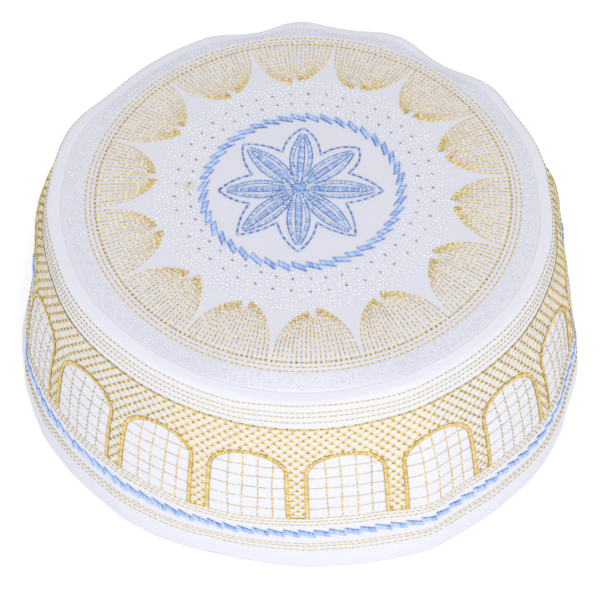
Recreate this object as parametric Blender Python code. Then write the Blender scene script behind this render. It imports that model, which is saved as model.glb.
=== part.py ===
"""Prayer cap: a flat round crown sewn to a flared side band, both of stiffened embroidered cloth.

Blender 4.5, metres, +Z up. The cap stands on the rim of its band, with the origin on the floor under the
middle of its box. Azimuths are degrees from the front, which faces -Y, and grow towards +X.
"""
import math

import bmesh
import bpy
from mathutils import Matrix, Vector

MM = 0.001

# Driving dimensions, in millimetres.
CLOTH = 1.6  # wall: two layers of cotton, stiffened by close stitching
SEAM_GAP = 0.3  # between the crown's edge and the band, across the seam
SHELF_GAP = 0.5  # between the crown and the band's turned-in edge under it
AROUND = 96  # divisions round the cap
RING_RADIUS = 65.0  # the gold ring sewn near the crown's edge
RING_HEIGHT = 67.0  # height of the crown there
DOME = 2.6  # rise of the crown's middle over that ring
CROWN_RADIUS = 75.8  # to the seam
RIM_DROP = 0.5  # the crown's edge rounds down this far to the seam
BAND_RADIUS = CROWN_RADIUS + SEAM_GAP  # where the band starts, outside the seam
ALLOWANCE = 4.0  # width of the band's edge turned in under the crown
STIFF_RADIUS = 69.0  # inside this the crown keeps its round shape, outside it follows the folds
SHOULDER_FOOT = 61.0  # height at which the wall bends over towards the seam

# The side band's outer face, from the hem up to the seam: name, height, radius.
SECTIONS = (
    ("hem", 0.0, 94.0),
    ("hem stitching", 9.0, 93.7),
    ("rope", 17.3, 93.1),
    ("arch foot", 24.0, 92.3),
    ("lower wall", 32.0, 90.8),
    ("middle wall", 40.0, 88.6),
    ("arch top", 47.5, 85.3),
    ("lattice border", 56.0, 81.2),
    ("shoulder foot", SHOULDER_FOOT, 80.1),
    ("shoulder", 64.5, 79.2),
    ("shoulder top", 65.7, 78.0),
    ("seam", 66.0, BAND_RADIUS),
)

# Dents and bulges of the wall: name, azimuth, half width in degrees, then how far out the cloth stands
# at the shoulder, at the middle and at the hem.
FOLDS = (
    ("front", 1.5, 30.0, 0.5, -0.8, -0.6),
    ("front right crease", 23.5, 9.5, 0.4, 2.2, 0.6),
    ("right front", 30.0, 45.0, -0.5, 0.5, 1.9),
    ("right", 74.0, 22.0, -0.6, -3.2, -1.6),
    ("right side dent", 94.0, 20.0, -1.5, -9.0, -2.8),
    ("right rear", 117.0, 20.0, -1.6, -0.8, -0.6),
    ("rear right dent", 143.0, 18.0, -3.8, 0.0, 0.0),
    ("rear", 169.0, 18.0, -2.5, 0.0, 0.0),
    ("rear left dent", -168.0, 14.0, -3.2, 0.0, 0.0),
    ("rear left", -150.0, 20.0, -1.5, 0.0, 0.0),
    ("left rear", -130.0, 20.0, -1.7, 0.0, 0.0),
    ("left rear bulge", -108.0, 18.0, 1.4, -0.6, -5.0),
    ("left side dent", -88.0, 18.0, 1.1, -7.4, -0.7),
    ("left", -62.0, 22.0, 0.8, -0.4, 1.1),
    ("left front", -35.0, 22.0, -0.2, -0.2, 0.9),
    ("front left", -14.5, 19.0, -0.1, 1.0, -0.1),
)
FOLD_MIDDLE = 27.0  # height at which a fold has its middle value
FOLD_TOP = 57.0  # height from which it has its shoulder value
SAG = 0.6  # a dented shoulder hangs down by this part of its dent

# Radii of the crown's rings, close together where it turns over at the rim.
CROWN_RINGS = (14.0, 32.0, 48.0, 60.0, RING_RADIUS, STIFF_RADIUS, 72.0, 74.2)

CROWN_COLOUR = (0.74, 0.75, 0.82, 1.0)
BAND_COLOUR = (0.86, 0.86, 0.92, 1.0)


def mix(a, b, t):
    """The value a part t of the way from a to b, with t held between 0 and 1."""
    return a + (b - a) * min(max(t, 0.0), 1.0)


def fold_at(azimuth, height):
    """How far out of the plain turned shape the cloth stands there, and how far its shoulder sags."""
    out = 0.0
    at_shoulder = 0.0
    for _, middle, half_width, top, centre, low in FOLDS:
        away = (azimuth - middle + 180.0) % 360.0 - 180.0
        if abs(away) >= half_width:
            continue
        if height > FOLD_MIDDLE:
            depth = mix(centre, top, (height - FOLD_MIDDLE) / (FOLD_TOP - FOLD_MIDDLE))
        else:
            depth = mix(low, centre, height / FOLD_MIDDLE)
        swell = 0.5 + 0.5 * math.cos(math.pi * away / half_width)
        out += depth * swell
        at_shoulder += top * swell
    sag = -SAG * min(at_shoulder, 0.0) * mix(0.0, 1.0, height / FOLD_TOP)
    return out, sag


def crown_height(radius):
    """Top of the crown at a radius: a shallow dome that carries on past the gold ring to the rim."""
    return RING_HEIGHT + DOME * (1.0 - (radius / RING_RADIUS) ** 2)


def crown_share(radius):
    """How much of the wall's folds reaches the crown at a radius."""
    return mix(0.0, 1.0, (radius - STIFF_RADIUS) / (CROWN_RADIUS - STIFF_RADIUS))


def place(radius, height, azimuth, share):
    """A point of the cap, with this share of the wall's folds."""
    out, sag = fold_at(azimuth, height)
    reach = radius + share * out
    angle = math.radians(azimuth)
    return Vector((reach * math.sin(angle), -reach * math.cos(angle), height - share * sag)) * MM


def add_ring(mesh, radius, height, share=1.0):
    """One closed ring of edges round the cap."""
    made = bmesh.ops.create_circle(mesh, segments=AROUND, radius=radius * MM)
    for vert in made["verts"]:
        azimuth = math.degrees(math.atan2(vert.co.x, -vert.co.y))
        vert.co = place(radius, height, azimuth, share)
    return list({edge for vert in made["verts"] for edge in vert.link_edges})


def bridge_rings(mesh, rings, closed):
    """Walls between neighbouring rings, and from the last back to the first if closed."""
    pairs = list(zip(rings, rings[1:]))
    if closed:
        pairs.append((rings[-1], rings[0]))
    for first, second in pairs:
        bmesh.ops.bridge_loops(mesh, edges=first + second)


def close_middle(mesh, ring, height):
    """A disc inside the smallest ring, raised to its middle."""
    disc = bmesh.ops.contextual_create(mesh, geom=ring)["faces"]
    middle = bmesh.ops.poke(mesh, faces=disc)["verts"][0]
    middle.co = Vector((0.0, 0.0, height * MM))


def box_middle():
    """Middle of the cap's box in plan, taken on the band's own rings."""
    corners = [
        place(radius, height, 360.0 * step / AROUND, 1.0)
        for _, height, radius in SECTIONS
        for step in range(AROUND)
    ]
    xs = [corner.x for corner in corners]
    ys = [corner.y for corner in corners]
    return Vector(((min(xs) + max(xs)) / 2, (min(ys) + max(ys)) / 2, 0.0))


def cloth(name, colour):
    """Plain matt cloth."""
    material = bpy.data.materials.new(name)
    material.use_nodes = True
    shader = material.node_tree.nodes["Principled BSDF"]
    shader.inputs["Base Color"].default_value = colour
    shader.inputs["Roughness"].default_value = 0.85
    shader.inputs["Metallic"].default_value = 0.0
    material.diffuse_color = colour
    return material


def finish(mesh, name, colour):
    """The object of a finished mesh, moved so that the cap's box stands over the origin."""
    bmesh.ops.recalc_face_normals(mesh, faces=mesh.faces)
    bmesh.ops.transform(mesh, matrix=Matrix.Translation(-box_middle()), verts=mesh.verts)
    data = bpy.data.meshes.new(name)
    mesh.to_mesh(data)
    mesh.free()
    data.shade_smooth()
    data.set_sharp_from_angle(angle=math.radians(40.0))
    data.materials.append(cloth(name + "_cloth", colour))
    made = bpy.data.objects.new(name, data)
    bpy.context.scene.collection.objects.link(made)
    return made


def build_crown():
    """The round top: a domed disc of cloth whose edge rounds down to the seam."""
    mesh = bmesh.new()
    over = [add_ring(mesh, r, crown_height(r), crown_share(r)) for r in CROWN_RINGS]
    under = [add_ring(mesh, r, crown_height(r) - CLOTH, crown_share(r)) for r in CROWN_RINGS]
    edge_top = crown_height(CROWN_RADIUS)
    edge = [
        add_ring(mesh, CROWN_RADIUS, edge_top - RIM_DROP),
        add_ring(mesh, CROWN_RADIUS, edge_top - CLOTH),
    ]
    bridge_rings(mesh, over + edge + under[::-1], closed=False)
    close_middle(mesh, over[0], crown_height(0.0))
    close_middle(mesh, under[0], crown_height(0.0) - CLOTH)
    return finish(mesh, "crown", CROWN_COLOUR)


def build_band():
    """The side wall and shoulder, with its top edge turned in under the crown and a flat rim below."""
    mesh = bmesh.new()
    outer = [add_ring(mesh, radius, height) for _, height, radius in SECTIONS]

    # Under the crown the turned-in edge runs parallel to it, a gap below.
    turned = []
    for radius, depth in (
        (BAND_RADIUS, 0.0),
        (BAND_RADIUS - ALLOWANCE, 0.0),
        (BAND_RADIUS - ALLOWANCE, CLOTH),
        (BAND_RADIUS, CLOTH),
    ):
        height = crown_height(radius) - CLOTH - SHELF_GAP - depth
        turned.append(add_ring(mesh, radius, height, crown_share(radius)))

    # The inner face follows the wall at the cloth's thickness, square to its slope.
    wall = [row for row in SECTIONS if row[1] <= SHOULDER_FOOT]
    inner = []
    for index, (_, height, radius) in enumerate(wall):
        below = wall[max(index - 1, 0)]
        above = wall[min(index + 1, len(wall) - 1)]
        slope = (above[2] - below[2]) / (above[1] - below[1])
        inner.append(add_ring(mesh, radius - CLOTH * math.hypot(1.0, slope), height))
    bridge_rings(mesh, outer + turned + inner[::-1], closed=True)
    return finish(mesh, "band", BAND_COLOUR)


def main():
    for old in list(bpy.data.objects):
        bpy.data.objects.remove(old, do_unlink=True)
    build_crown()
    build_band()


main()
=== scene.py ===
# %% [markdown]
# # An embroidered prayer cap
# The real cap is two pieces of white cotton, each stiffened with interlining: a round crown, and a side
# band whose upper edge bends over into a shoulder. An embroidery machine sews gold, blue and white thread
# over both before they are joined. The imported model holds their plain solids. This lesson makes the cloth
# again as a smooth, creased surface, and then sews each line of thread on it, stitch by stitch.

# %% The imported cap
import math

import bmesh
import bpy
import numpy as np
from mathutils import Matrix, Vector


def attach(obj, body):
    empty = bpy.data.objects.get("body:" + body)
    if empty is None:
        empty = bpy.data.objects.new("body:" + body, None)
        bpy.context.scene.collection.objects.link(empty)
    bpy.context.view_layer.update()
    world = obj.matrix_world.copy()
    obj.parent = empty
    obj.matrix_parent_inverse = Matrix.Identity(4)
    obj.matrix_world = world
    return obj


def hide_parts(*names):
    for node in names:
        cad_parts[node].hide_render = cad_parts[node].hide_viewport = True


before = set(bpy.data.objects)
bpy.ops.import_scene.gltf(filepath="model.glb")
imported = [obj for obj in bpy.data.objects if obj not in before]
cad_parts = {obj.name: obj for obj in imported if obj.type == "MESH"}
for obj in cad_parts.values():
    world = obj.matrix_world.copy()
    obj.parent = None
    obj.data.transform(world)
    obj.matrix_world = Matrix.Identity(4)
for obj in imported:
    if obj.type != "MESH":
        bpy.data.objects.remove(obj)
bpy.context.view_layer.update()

# %% [markdown]
# ## The shape of the cloth
# A cap like this is measured as its maker would: the radius of the wall at a few heights, and then where
# the finished cloth is dented or creased. Everything below works in millimetres, with the azimuth in
# degrees from the front (which faces -Y) towards +X. These are the same sizes as in the solid model.

# %% Sizes
MM = 0.001
CLOTH = 1.6  # how thick it is
SEAM_GAP = 0.3
SHELF_GAP = 0.5  # between the crown and the seam allowance under it
RING_RADIUS = 65.0  # of the gold ring, and the crown's height there
RING_HEIGHT = 67.0
DOME = 2.6  # rise of the crown's middle over that ring
CROWN_RADIUS = 75.8
BAND_RADIUS = CROWN_RADIUS + SEAM_GAP
ALLOWANCE = 4.0  # width of the band's edge turned in under the crown
STIFF_RADIUS = 69.0  # outside this the crown follows the folds
SHOULDER_FOOT = 61.0
SEAM_HEIGHT = 66.0
SEAM_SHOWS_AT = 74.8  # radius at which the sewn seam closes

# Height and radius of the wall's outer face: hem, hem stitching, rope, arch foot, lower wall, middle
# wall, arch top, lattice border, shoulder foot, shoulder, shoulder top, seam.
SECTIONS = (
    (0.0, 94.0),
    (9.0, 93.7),
    (17.3, 93.1),
    (24.0, 92.3),
    (32.0, 90.8),
    (40.0, 88.6),
    (47.5, 85.3),
    (56.0, 81.2),
    (SHOULDER_FOOT, 80.1),
    (64.5, 79.2),
    (65.7, 78.0),
    (SEAM_HEIGHT, BAND_RADIUS),
)

# Name, azimuth, half width in degrees, then how far out the cloth stands at shoulder, middle and hem.
FOLDS = (
    ("front", 1.5, 30.0, 0.5, -0.8, -0.6),
    ("front right crease", 23.5, 9.5, 0.4, 2.2, 0.6),
    ("right front", 30.0, 45.0, -0.5, 0.5, 1.9),
    ("right", 74.0, 22.0, -0.6, -3.2, -1.6),
    ("right side dent", 94.0, 20.0, -1.5, -9.0, -2.8),
    ("right rear", 117.0, 20.0, -1.6, -0.8, -0.6),
    ("rear right dent", 143.0, 18.0, -3.8, 0.0, 0.0),
    ("rear", 169.0, 18.0, -2.5, 0.0, 0.0),
    ("rear left dent", -168.0, 14.0, -3.2, 0.0, 0.0),
    ("rear left", -150.0, 20.0, -1.5, 0.0, 0.0),
    ("left rear", -130.0, 20.0, -1.7, 0.0, 0.0),
    ("left rear bulge", -108.0, 18.0, 1.4, -0.6, -5.0),
    ("left side dent", -88.0, 18.0, 1.1, -7.4, -0.7),
    ("left", -62.0, 22.0, 0.8, -0.4, 1.1),
    ("left front", -35.0, 22.0, -0.2, -0.2, 0.9),
    ("front left", -14.5, 19.0, -0.1, 1.0, -0.1),
)
FOLD_MIDDLE = 27.0  # height at which a fold has its middle value
FOLD_TOP = 57.0  # height from which it has its shoulder value
SAG = 0.6  # a dented shoulder hangs down by this part of its dent
print(len(SECTIONS), "sections and", len(FOLDS), "folds")

# %% The cloth's folds
def signed(angle, period=360.0):
    """The same angle, counted from half a period below zero to half a period above it."""
    return (angle + period / 2) % period - period / 2


def ease(part):
    """From 0 to 1, leaving and arriving gently."""
    part = np.clip(part, 0.0, 1.0)
    return 0.5 * part + 0.5 * part * part * (3.0 - 2.0 * part)


def folds_at(azimuth, height):
    """How far out the cloth stands there, and how far its dented shoulder hangs down."""
    azimuth, height = np.broadcast_arrays(np.asarray(azimuth, float), np.asarray(height, float))
    out = np.zeros(azimuth.shape)
    at_shoulder = np.zeros(azimuth.shape)
    upper = ease((height - FOLD_MIDDLE) / (FOLD_TOP - FOLD_MIDDLE))
    lower = ease(height / FOLD_MIDDLE)
    for _, middle, half_width, top, centre, low in FOLDS:
        away = signed(azimuth - middle)
        swell = np.where(np.abs(away) < half_width, 0.5 + 0.5 * np.cos(np.pi * away / half_width), 0.0)
        depth = np.where(height > FOLD_MIDDLE, centre + (top - centre) * upper, low + (centre - low) * lower)
        out += depth * swell
        at_shoulder += top * swell
    sag = -SAG * np.minimum(at_shoulder, 0.0) * np.clip(height / FOLD_TOP, 0.0, 1.0)
    return out, sag


def place(radius, height, azimuth, share=1.0):
    """Points of the cap in millimetres round its own axis, with this share of the folds."""
    out, sag = folds_at(azimuth, height)
    reach = radius + share * out
    angle = np.radians(azimuth)
    return np.stack([reach * np.sin(angle), -reach * np.cos(angle), height - share * sag], -1)


hem_ring = place(SECTIONS[0][1], 0.0, np.arange(0.0, 360.0, 3.75))
MIDDLE = np.append((hem_ring[:, :2].min(0) + hem_ring[:, :2].max(0)) / 2, 0.0)
print("the cap's axis stands", np.round(-MIDDLE, 2), "mm from the origin")

# %% [markdown]
# The wall's line is drawn as a smooth curve through its sections, the way a hand would with a French
# curve. Each row of stitches pulls the quilted cloth in a little, and the free hem ripples slightly, so
# both are part of the surface, and the thread can be laid exactly on it.

# %% Where the cloth is stitched and pressed
SHOULDER_LINES = (64.5, 62.2, 60.5, 58.4)
BORDER_HEIGHT = 56.0
ARCH_FOOT = 24.0
FOOT_LINES = (ARCH_FOOT, 22.6, 21.1)
HEM_LINES = (12.2, 10.9, 9.1)
SEWN_LINES = SHOULDER_LINES + (BORDER_HEIGHT,) + FOOT_LINES + HEM_LINES
GOLD_RINGS = (64.8, 66.4, 67.9)
GROOVE_DEPTH = 0.16
GROOVE_WIDTH = 0.5
# Azimuth, and how far the shoulder's lines climb there: its front was pressed nearly flat.
PRESSED = (
    (-60.0, 0.0),
    (-30.0, -0.2),
    (-15.0, -0.6),
    (-8.0, 0.2),
    (3.0, 0.5),
    (11.0, 0.2),
    (20.0, -0.45),
    (45.0, 0.0),
)
RIPPLES_END = 50.0  # height above which only a fifth of them is left
RIPPLES = ((7, 0.22, 0.4), (13, 0.14, 2.1), (29, 0.10, 1.3), (47, 0.07, 0.2))  # how many, depth, phase
print("lines sewn round the wall:", len(SEWN_LINES), "and rings on the crown:", len(GOLD_RINGS))

# %% The wall's line
def smooth_line(points, steps):
    """A smooth curve through the points, with this many steps in each span."""
    points = np.array(points, float)
    around = np.vstack([2 * points[0] - points[1], points, 2 * points[-1] - points[-2]])
    curve = []
    for before, start, end, after in zip(around, around[1:], around[2:], around[3:]):
        span = np.linalg.norm(end - start)
        leave = (end - before) / np.linalg.norm(end - before) * span
        arrive = (after - start) / np.linalg.norm(after - start) * span
        for t in np.linspace(0.0, 1.0, steps, endpoint=False):
            curve.append(
                (2 * t**3 - 3 * t**2 + 1) * start
                + (t**3 - 2 * t**2 + t) * leave
                + (3 * t**2 - 2 * t**3) * end
                + (t**3 - t**2) * arrive
            )
    return np.array(curve + [points[-1]])


def gone_along(line):
    """How far along a line each of its points lies."""
    return np.append(0.0, np.cumsum(np.linalg.norm(np.diff(line, axis=0), axis=1)))


def resample(line, step):
    """The same line with its points about a step apart."""
    line = np.asarray(line, float)
    gone = gone_along(line)
    marks = np.linspace(0.0, gone[-1], max(int(round(gone[-1] / step)), 1) + 1)
    return np.stack([np.interp(marks, gone, line[:, axis]) for axis in range(line.shape[1])], -1)


def wall_radius(height):
    return np.interp(height, WALL_LINE[:, 1], WALL_LINE[:, 0])


WALL_LINE = smooth_line([(radius, height) for height, radius in SECTIONS], 12)
print(len(WALL_LINE), "points; radius at the arch foot:", round(float(wall_radius(ARCH_FOOT)), 2))

# %% The wall and the top as surfaces
def groove(away):
    """How far a row of stitches draws the cloth in, at a distance from the row."""
    return -GROOVE_DEPTH * np.exp(-((away / GROOVE_WIDTH) ** 2))


def climb(azimuth, height):
    """How far a line sewn at this height stands above it."""
    at, far = np.array(PRESSED).T
    return np.interp(signed(azimuth), at, far) * ease((height - BORDER_HEIGHT) / 3.0)


def relief(azimuth, height):
    """How far stitching draws the wall in, and the ripple of its free lower part."""
    drawn = np.zeros(np.broadcast(azimuth, height).shape)
    for line in SEWN_LINES:
        drawn = drawn + groove(height - line - climb(azimuth, line))
    free = 1.0 - 0.8 * ease(height / RIPPLES_END)
    for count, depth, phase in RIPPLES:
        drawn = drawn + depth * free * np.sin(np.radians(azimuth) * count + phase)
    return drawn


def wall(azimuth, height):
    """The wall's outer face at an azimuth and a height."""
    return place(wall_radius(height) + relief(azimuth, height), height, azimuth)


def crown_height(radius):
    return RING_HEIGHT + DOME * (1.0 - (radius / RING_RADIUS) ** 2)


def crown_share(radius):
    """The crown keeps its round shape inside its stiff part, and follows the folds outside it."""
    return np.clip((radius - STIFF_RADIUS) / (CROWN_RADIUS - STIFF_RADIUS), 0.0, 1.0)


def crown_relief(radius):
    """How far the rows of stitches draw the crown down."""
    return sum(groove(radius - ring) for ring in GOLD_RINGS)


def top(across, up):
    """The crown's upper face over a point of its plan."""
    radius = np.hypot(across, up)
    azimuth = np.degrees(np.arctan2(across, -up))
    placed = place(radius, crown_height(radius), azimuth, crown_share(radius))
    placed[..., 2] += crown_relief(radius)
    return placed


def spoke(radius, azimuth):
    """Plan coordinates on the crown of a radius and an azimuth."""
    angle = np.radians(azimuth)
    return np.stack([radius * np.sin(angle), -radius * np.cos(angle)], -1)


def quarter_turn(way):
    """A direction in plan, turned by 90 degrees."""
    return np.array([-way[1], way[0]])


print("the crown's middle is at a height of", crown_height(0.0), "mm")

# %% [markdown]
# ## Cotton
# The cloth is a plain weave under a stiff finish: matt, with a trace of sheen, faintly blue from optical
# whitener. Two crossed waves make the weave at half a millimetre, a fine noise breaks it up, and a broad
# noise varies the tone as handling and ironing do. The pattern follows the piece's own UV map, which is
# in millimetres, so it runs round the band and doesn't stretch.

# %% Node helpers
def fill(tree, socket, value):
    """Gives a socket a value or a colour, or links it to another node's output."""
    if isinstance(value, bpy.types.NodeSocket):
        tree.links.new(value, socket)
    elif socket.type == "RGBA":
        socket.default_value = (*value, 1.0)
    else:
        socket.default_value = value


def add_node(tree, kind, *inputs, **named):
    """A node with its settings by name, and its inputs in order or by name."""
    node = tree.nodes.new(kind)
    sockets = {name: value for name, value in named.items() if name.replace("_", " ") in node.inputs}
    for name, value in named.items():
        if name not in sockets:
            setattr(node, name, value)
    for socket, value in zip(node.inputs, inputs):
        fill(tree, socket, value)
    for name, value in sockets.items():
        fill(tree, node.inputs[name.replace("_", " ")], value)
    return node


def new_material(name, colour, roughness, sheen):
    """A Principled material with its even values on the shader's own sockets."""
    material = bpy.data.materials.new(name)
    material.use_nodes = True
    material.diffuse_color = (*colour, 1.0)
    shader = material.node_tree.nodes["Principled BSDF"]
    shader.inputs["Base Color"].default_value = (*colour, 1.0)
    shader.inputs["Roughness"].default_value = roughness
    shader.inputs["Sheen Weight"].default_value = sheen
    shader.inputs["Sheen Roughness"].default_value = 0.45
    return material, material.node_tree, shader


def tint(tree, colour, factor, other):
    """Mixes a colour with another by a factor, each of which may come from another node."""
    mix = add_node(tree, "ShaderNodeMix", data_type="RGBA")
    for index, value in ((0, factor), (6, colour), (7, other)):
        fill(tree, mix.inputs[index], value)
    return mix.outputs[2]


print("node helpers are ready")

# %% The cotton's material
WEAVE = 0.5  # from one warp thread to the next, in mm
WAVE_PERIOD = 0.31416  # of Blender's wave texture at scale 1


def cotton(name, colour, shade, stains_and_front_light):
    """White cloth with a woven surface. Its spots are stains and patches of painted front light, each with a
    place, a radius, an edge and a colour.
    """
    material, tree, shader = new_material(name, colour, 0.86, 0.15)
    cloth_map = add_node(tree, "ShaderNodeUVMap", uv_map="cloth_mm").outputs[0]
    weave = []
    for direction in ("X", "Y"):
        wave = add_node(
            tree,
            "ShaderNodeTexWave",
            bands_direction=direction,
            Vector=cloth_map,
            Scale=WAVE_PERIOD / WEAVE,
            Distortion=0.6,
            Detail=1.0,
            Detail_Scale=2.0,
        )
        weave.append(wave.outputs["Fac"])
    crossed = add_node(tree, "ShaderNodeMath", *weave, operation="MULTIPLY").outputs[0]
    slubs = add_node(tree, "ShaderNodeTexNoise", Vector=cloth_map, Scale=0.9, Detail=3.0, Roughness=0.6)
    broad = add_node(tree, "ShaderNodeTexNoise", Vector=cloth_map, Scale=0.045, Detail=2.0)
    base = tint(tree, colour, slubs.outputs["Fac"], shade)
    base = tint(tree, base, broad.outputs["Fac"], colour)

    where = add_node(tree, "ShaderNodeTexCoord").outputs["Object"]
    # Each spot is blended over the cloth's colour: a real stain, or a paler patch of painted front light.
    for spot_place, radius, edge, spot_colour in stains_and_front_light:
        distance = add_node(tree, "ShaderNodeVectorMath", where, spot_place, operation="DISTANCE")
        away = distance.outputs["Value"]
        fade = add_node(tree, "ShaderNodeMapRange", away, From_Min=radius + edge, From_Max=radius)
        base = tint(tree, base, fade.outputs["Result"], spot_colour)
    fill(tree, shader.inputs["Base Color"], base)

    woven = add_node(tree, "ShaderNodeBump", Strength=0.5, Distance=0.05 * MM, Height=crossed)
    rough = add_node(tree, "ShaderNodeBump", Strength=0.5, Distance=0.15 * MM, Height=slubs.outputs["Fac"])
    fill(tree, rough.inputs["Normal"], woven.outputs["Normal"])
    fill(tree, shader.inputs["Normal"], rough.outputs["Normal"])
    return material


# A paler patch is painted on the crown's front, as the front light that falls there. A small yellow-brown
# stain with a pale halo is on its left.
stain_place = tuple((top(np.array([-36.0]), np.array([2.0]))[0] - MIDDLE) * MM)
CROWN_STAIN_AND_FRONT_LIGHT = (
    ((0.0, -0.12, 0.062), 45.0 * MM, 18.0 * MM, (0.64, 0.645, 0.715)),
    (stain_place, 0.6 * MM, 2.6 * MM, (0.51, 0.485, 0.425)),
    (stain_place, 0.2 * MM, 0.7 * MM, (0.42, 0.35, 0.23)),
)
# The band's front is painted paler in the same way, as painted front light.
PAINTED_FRONT_LIGHT = (((0.0, -0.1, 0.04), 45.0 * MM, 60.0 * MM, (0.605, 0.61, 0.675)),)
crown_cotton = cotton("crown cotton", (0.55, 0.555, 0.62), (0.515, 0.52, 0.58), CROWN_STAIN_AND_FRONT_LIGHT)
band_cotton = cotton("band cotton", (0.575, 0.58, 0.643), (0.54, 0.545, 0.602), PAINTED_FRONT_LIGHT)
print("made", crown_cotton.name, "and", band_cotton.name)

# %% [markdown]
# ## Turning a piece of cloth
# Each piece starts as half of its cross-section: one vertex, extruded from point to point along the line
# of the cloth, up the outside, round the edge and back along the inside. Spinning that line round the axis
# gives a closed skin as thick as the real cloth. A cloth simulation could crumple it, but the folds here
# are known, so every point is then moved into them.

# %% Turning and draping
AROUND = 360


def turned(name, line):
    """Draws a cross-section of radii and heights by extruding a vertex, and spins it round the axis."""
    bpy.ops.object.select_all(action="DESELECT")
    bpy.ops.mesh.primitive_plane_add(size=1.0, location=(0.0, 0.0, 0.0))
    piece = bpy.context.object
    piece.name = name
    bpy.ops.object.mode_set(mode="EDIT")
    bpy.ops.mesh.select_all(action="SELECT")
    bpy.ops.mesh.merge(type="CENTER")
    bpy.ops.transform.translate(value=(0.0, -line[0][0], line[0][1]))
    for radial, upward in np.diff(line, axis=0):
        bpy.ops.mesh.extrude_region_move(TRANSFORM_OT_translate={"value": (0.0, -radial, upward)})
    bpy.ops.mesh.select_all(action="SELECT")
    bpy.ops.mesh.spin(steps=AROUND, angle=math.tau, center=(0.0, 0.0, 0.0), axis=(0.0, 0.0, 1.0))
    bpy.ops.mesh.select_all(action="SELECT")
    bpy.ops.mesh.remove_doubles(threshold=0.002)
    bpy.ops.mesh.normals_make_consistent(inside=False)
    bpy.ops.object.mode_set(mode="OBJECT")
    bpy.ops.object.shade_smooth()
    return piece


def points_of(mesh):
    flat = np.empty(len(mesh.vertices) * 3)
    mesh.vertices.foreach_get("co", flat)
    return flat.reshape(-1, 3)


def drape(piece, moved, flat_pattern):
    """Moves a turned piece's points to their final places, and keeps its flat pattern as a UV map in mm."""
    mesh = piece.data
    before = points_of(mesh)
    mesh.vertices.foreach_set("co", ((moved(before) - MIDDLE) * MM).ravel())
    corners = np.empty(len(mesh.loops), int)
    mesh.loops.foreach_get("vertex_index", corners)
    mesh.uv_layers.new(name="cloth_mm")
    mesh.uv_layers["cloth_mm"].data.foreach_set("uv", flat_pattern(before)[corners].ravel())
    mesh.update()


def triangles(piece):
    return sum(len(face.vertices) - 2 for face in piece.data.polygons)


def polar(points):
    """Radius, height and azimuth of points round the axis."""
    across, up, height = points.T
    return np.hypot(across, up), height, np.degrees(np.arctan2(across, -up))


print("cloth is turned in", AROUND, "steps")

# %% [markdown]
# ## The crown
# The crown is a disc with a slight dome, which steam and a wooden block give the real one. Its edge turns
# down into the seam, so the seam shows as a soft groove. Rows of vertices stand close together only under
# the three gold rings, where the stitching draws the cloth down.

# %% The crown's cloth
over = []
for start, stop, step in ((0.0, 63.0, 2.0), (63.6, 69.2, 0.5), (69.8, 74.0, 1.0)):
    over += [(radius, crown_height(radius)) for radius in np.arange(start, stop, step)]
EDGE = SEAM_SHOWS_AT - 0.015
edge_height = crown_height(EDGE)
rounded = [
    (EDGE - 0.7, edge_height + 0.05),
    (EDGE - 0.35, edge_height),
    (EDGE - 0.12, edge_height - 0.06),
    (EDGE, edge_height - 0.12),
    (EDGE, edge_height - CLOTH + 0.3),
    (EDGE - 0.3, edge_height - CLOTH),
]
UNDER_RADII = (73.5, 72.0, 69.0, 64.0, 56.0, 44.0, 30.0, 15.0, 0.0)
under = [(radius, crown_height(radius) - CLOTH) for radius in UNDER_RADII]
crown_line = np.array(over + rounded + under)
crown = turned("crown_embroidered_cloth", crown_line)


def crown_places(points):
    radius, height, azimuth = polar(points)
    placed = place(radius, height, azimuth, crown_share(radius))
    upper = height > crown_height(radius) - 0.1
    placed[:, 2] += np.where(upper, crown_relief(radius), 0.0)
    return placed


drape(crown, crown_places, lambda points: points[:, :2])
crown.data.materials.append(crown_cotton)
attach(crown, "root")
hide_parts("crown")
print("crown:", triangles(crown), "triangles")

# %% [markdown]
# ## The side band
# The band is a strip cut on a curve, so that it stands wider at the hem. Its upper edge bends over into the
# shoulder, turns down at the seam and runs on under the crown as the seam allowance. The hem is folded, so
# its lower edge is round. Rows stand close together along the stitched lines.

# %% The band's cloth
FINE_ROW = 0.5
COARSE_ROW = 1.7
PATTERN_RADIUS = 85.0  # at which the flat pattern has the band's own width
heights = [1.2]
while heights[-1] < SHOULDER_FOOT - 1.0:
    near = min(abs(heights[-1] - line) for line in SEWN_LINES)
    heights.append(heights[-1] + (FINE_ROW if near < 1.3 else COARSE_ROW))
outer = [(float(wall_radius(height)), height) for height in heights]
shoulder = resample([point for point in WALL_LINE if point[1] > heights[-1] + 0.3], 0.45)
outer += [tuple(point) for point in shoulder[:-1]]
turn_in = [
    (SEAM_SHOWS_AT + 0.7, edge_height - 0.03),
    (SEAM_SHOWS_AT + 0.35, edge_height - 0.04),
    (SEAM_SHOWS_AT + 0.12, edge_height - 0.07),
    (SEAM_SHOWS_AT, edge_height - 0.12),
]
inside = SEAM_SHOWS_AT - ALLOWANCE
for radius, depth in ((SEAM_SHOWS_AT, 0.0), (inside, 0.0), (inside, CLOTH), (BAND_RADIUS, CLOTH)):
    turn_in.append((radius, crown_height(radius) - CLOTH - SHELF_GAP - depth))


def inner_radius(height):
    """The inner face, the cloth's thickness inside the outer one, square to its slope."""
    slope = wall_radius(height + 0.5) - wall_radius(height - 0.5)
    return float(wall_radius(height) - CLOTH * np.hypot(1.0, slope))


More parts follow.
